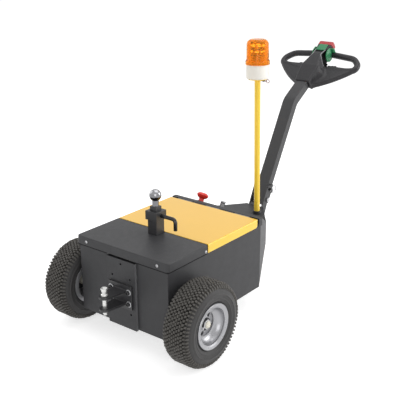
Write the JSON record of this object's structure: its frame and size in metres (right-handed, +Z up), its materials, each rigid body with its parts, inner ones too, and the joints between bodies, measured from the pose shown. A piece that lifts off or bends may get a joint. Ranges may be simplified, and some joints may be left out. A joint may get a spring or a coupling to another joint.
{
  "type": "walk-behind battery tug",
  "caption": "Pedestrian battery tug with drive wheels, rear castor, ball and drop-pin hitches, hinged battery lid, warning beacon on a pole and a tilting tiller.",
  "frame": {"origin": "on the floor under the middle of the machine's length and width", "axes": "+X along the machine towards the hitch end, +Y to its side, +Z up"},
  "size_m": [1.6062, 0.747, 1.0883],
  "materials": {
    "body_grey": "textured dark grey powder coat",
    "inner_black": "black paint",
    "lid_yellow": "yellow powder coat",
    "pole_yellow": "gloss yellow paint",
    "hitch_black": "black paint",
    "chrome": "polished chrome",
    "bolt_steel": "zinc plated",
    "cast_grey": "grey casting",
    "battery_black": "moulded battery case",
    "stop_red": "red moulded plastic",
    "button_red": "red moulded plastic",
    "lever_green": "green moulded plastic",
    "switch_black": "black moulded plastic",
    "beacon_white": "white moulded plastic",
    "beacon_amber": "amber clear plastic",
    "reflector": "bright reflector",
    "mast_grey": "textured dark grey powder coat",
    "tiller_black": "textured charcoal plastic",
    "castor_grey": "grey rubber",
    "tyre_black": "turf tyre",
    "rim_silver": "silver paint"
  },
  "bodies": {
    "chassis": {"front_panel": "body_grey", "side_panel_right": "body_grey", "side_panel_left": "body_grey", "floor_pan": "inner_black", "rear_bulkhead": "inner_black", "front_cover": "body_grey", "nose_wall_right": "body_grey", "nose_wall_left": "body_grey", "nose_floor": "body_grey", "rear_deck": "body_grey", "lid_hinge": "inner_black", "hitch_plate": "body_grey", "hitch_clevis": "hitch_black", "drop_pin": "chrome", "receiver_post": "hitch_black", "ball_mount": "hitch_black", "hitch_ball": "chrome", "hitch_pin": "hitch_black", "drive_unit": "cast_grey", "battery_pack": "battery_black", "estop_button": "stop_red", "key_switch": "switch_black", "pole_socket": "hitch_black", "beacon_pole": "pole_yellow", "beacon_pin": "chrome", "beacon_base": "beacon_white", "beacon_lens": "beacon_amber", "beacon_reflector": "reflector", "mast_bracket": "mast_grey", "mast_pivot_bolt": "bolt_steel", "castor_plate": "inner_black"},
    "lid": {"battery_cover": "lid_yellow"},
    "drive_wheel_right": {"tyre_right": "tyre_black", "rim_right": "rim_silver", "wheel_hub_right": "bolt_steel"},
    "drive_wheel_left": {"tyre_left": "tyre_black", "rim_left": "rim_silver", "wheel_hub_left": "bolt_steel"},
    "castor_swivel": {"castor_fork": "inner_black"},
    "castor_roller": {"castor_wheel": "castor_grey"},
    "mast": {"mast_tube": "mast_grey", "lock_pin": "chrome", "tiller_head": "tiller_black", "belly_button": "button_red", "throttle_levers": "lever_green"}
  },
  "joints": [
    {"name": "drive_wheel_right_spin", "type": "hinge", "parent": "chassis", "child": "drive_wheel_right", "pos_m": [0.60065, 0.311, 0.165], "axis": [0, 1, 0], "continuous": true},
    {"name": "drive_wheel_left_spin", "type": "hinge", "parent": "chassis", "child": "drive_wheel_left", "pos_m": [0.60065, -0.311, 0.165], "axis": [0, 1, 0], "continuous": true},
    {"name": "castor_swivel", "type": "hinge", "parent": "chassis", "child": "castor_swivel", "pos_m": [-0.09635, 0, 0.225], "axis": [0, 0, 1], "continuous": true},
    {"name": "castor_wheel_spin", "type": "hinge", "parent": "castor_swivel", "child": "castor_roller", "pos_m": [-0.13435, 0, 0.075], "axis": [0, 1, 0], "continuous": true},
    {"name": "mast_tilt", "type": "hinge", "parent": "chassis", "child": "mast", "pos_m": [-0.23635, 0, 0.345], "axis": [0, -1, 0], "range_deg": [-14, 16]},
    {"name": "lid_hinge", "type": "hinge", "parent": "chassis", "child": "lid", "pos_m": [0.12365, 0, 0.401], "axis": [0, -1, 0], "range_deg": [0, 90]}
  ]
}
